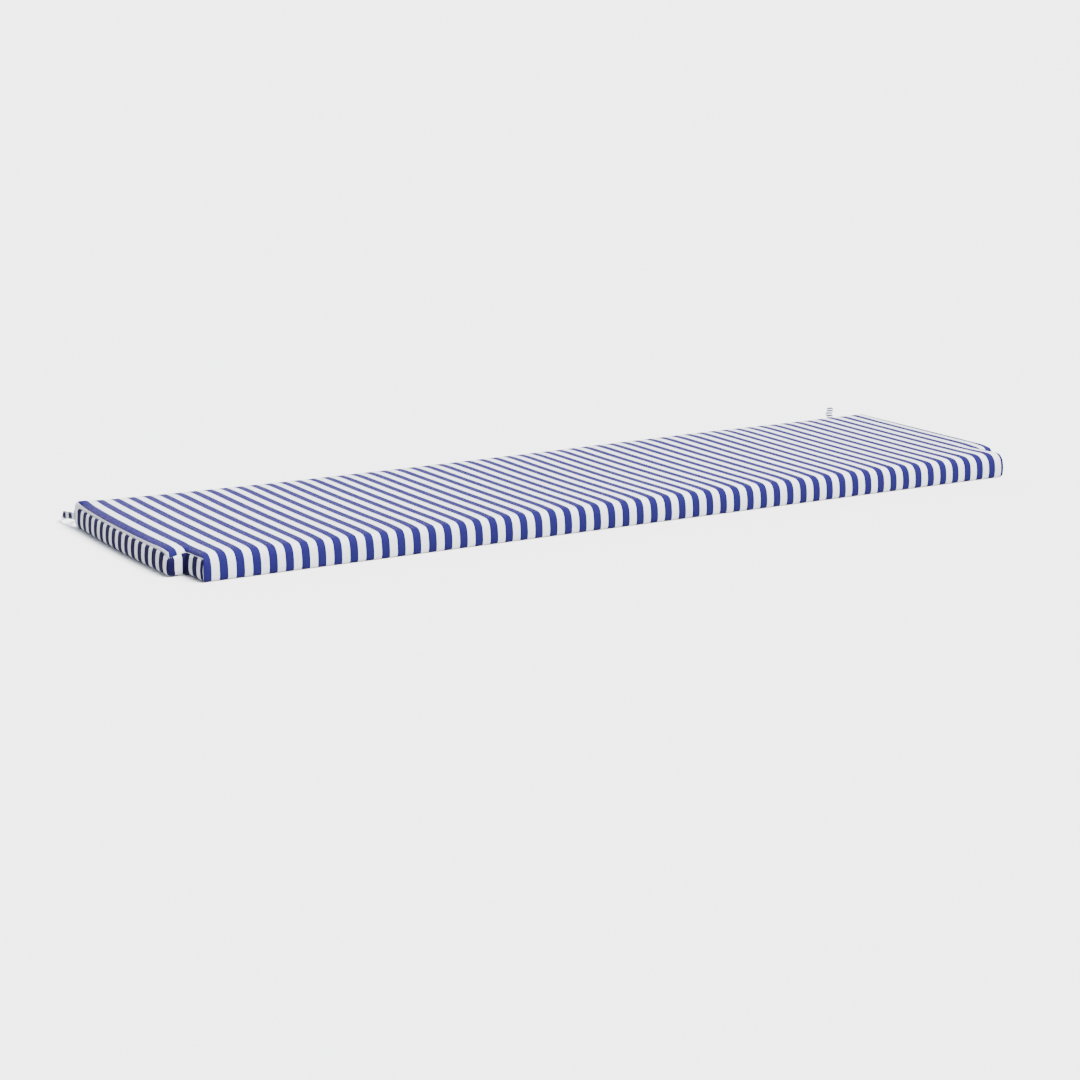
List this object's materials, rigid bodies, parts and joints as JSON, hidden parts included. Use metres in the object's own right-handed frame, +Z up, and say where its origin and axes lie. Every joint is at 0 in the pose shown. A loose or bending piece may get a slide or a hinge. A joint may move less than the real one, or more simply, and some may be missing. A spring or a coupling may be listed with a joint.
{
  "type": "bench cushion",
  "caption": "Long flat seat cushion in striped canvas with notched front corners, sewn end panels and loose flat ties at its rear corners.",
  "frame": {"origin": "middle of the underside, on the plane that the cushion rests on", "axes": "+X along the length to the right end, +Y to the rear edge that has the ties, +Z up from the underside to the crown"},
  "size_m": [1.6178, 0.6813, 0.0454],
  "materials": {
    "cushion_canvas": "matt woven canvas, blue and white stripes along the depth, carried over the front",
    "panel_canvas": "matt woven canvas, the same stripes standing upright",
    "tie_canvas": "matt woven canvas folded into a flat strip, the same stripes across its width"
  },
  "bodies": {
    "root": {"cushion": "cushion_canvas", "end_panel_left": "panel_canvas", "end_panel_right": "panel_canvas", "tie_left_outer": "tie_canvas", "tie_left_inner": "tie_canvas", "tie_right_outer": "tie_canvas", "tie_right_inner": "tie_canvas"}
  },
  "joints": []
}
